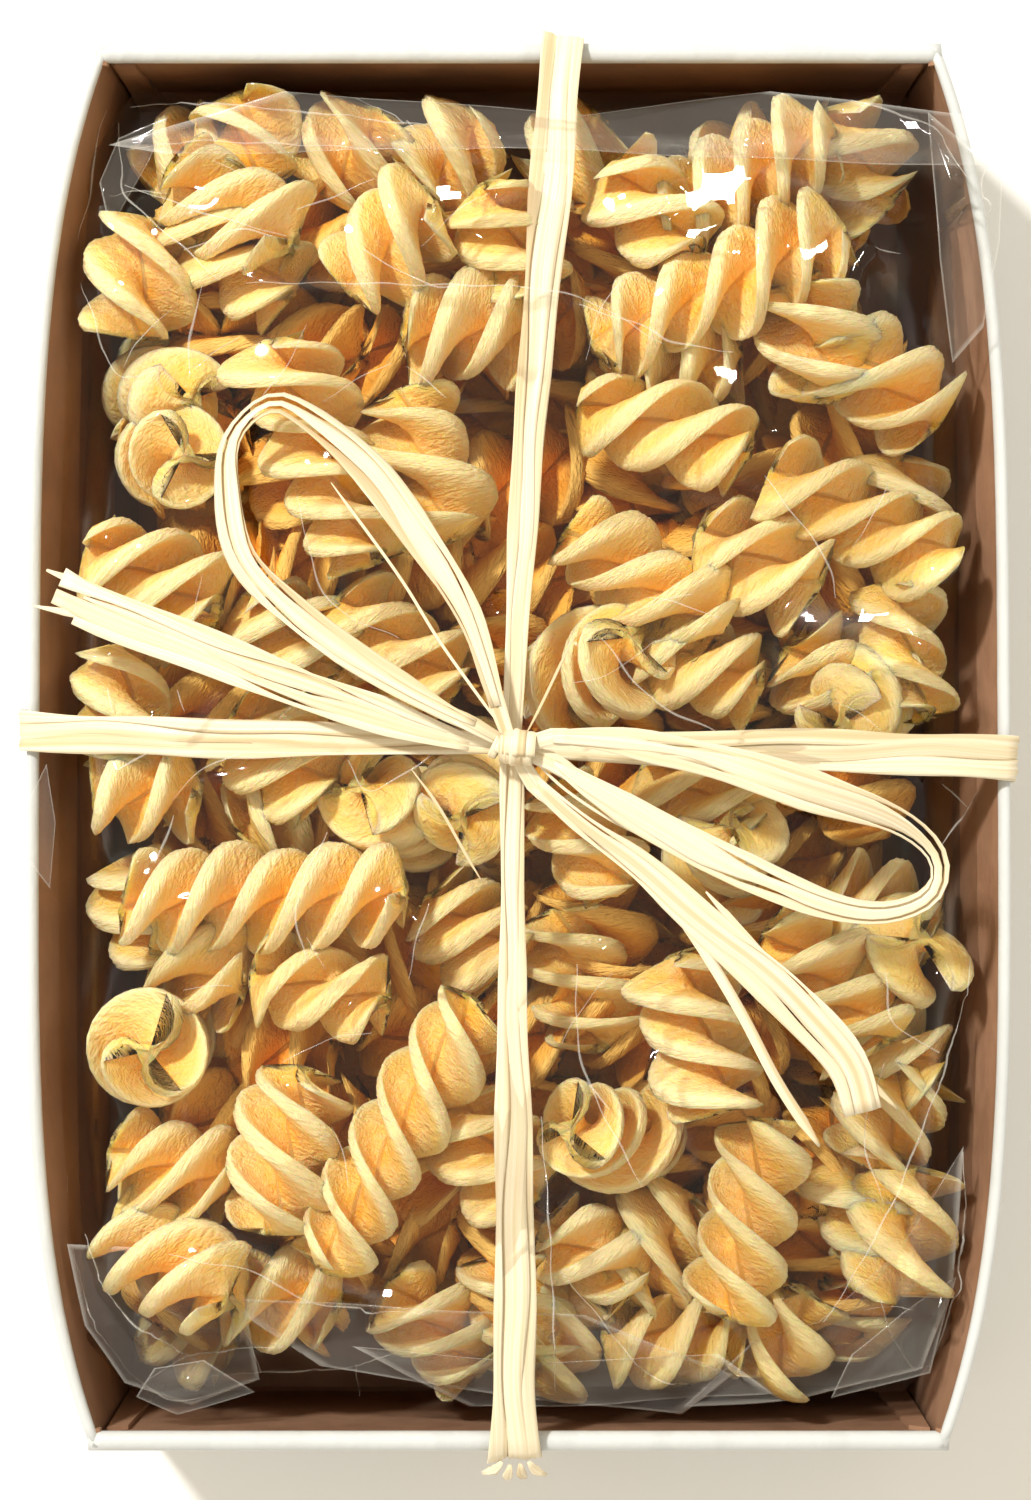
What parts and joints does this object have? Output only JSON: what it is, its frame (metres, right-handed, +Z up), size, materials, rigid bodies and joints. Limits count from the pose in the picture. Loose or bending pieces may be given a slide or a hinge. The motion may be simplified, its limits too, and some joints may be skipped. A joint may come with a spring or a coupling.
{
  "type": "pasta packet",
  "caption": "Open card tray holding a sealed clear bag of large spiral pasta, tied both ways with raffia and a bow.",
  "frame": {"origin": "middle of the packet's footprint, at the surface it stands on", "axes": "+Z up out of the open tray, +Y along the tray's long side towards the end the long raffia band slants to, +X to the right"},
  "size_m": [0.1206, 0.172, 0.0571],
  "materials": {
    "card": "white glossy board outside, bare pinkish brown inside",
    "pasta": "dry pasta seen through clear film",
    "tie_raffia": "pale satin raffia",
    "knot_raffia": "pale satin raffia",
    "loose_raffia": "pale satin raffia"
  },
  "bodies": {
    "root": {"tray": "card", "pasta_bag": "pasta", "raffia_tie": "tie_raffia", "raffia_knot": "knot_raffia", "raffia_loop_left": "loose_raffia", "raffia_loop_right": "loose_raffia", "raffia_tail_left": "loose_raffia", "raffia_tail_right": "loose_raffia"}
  },
  "joints": []
}
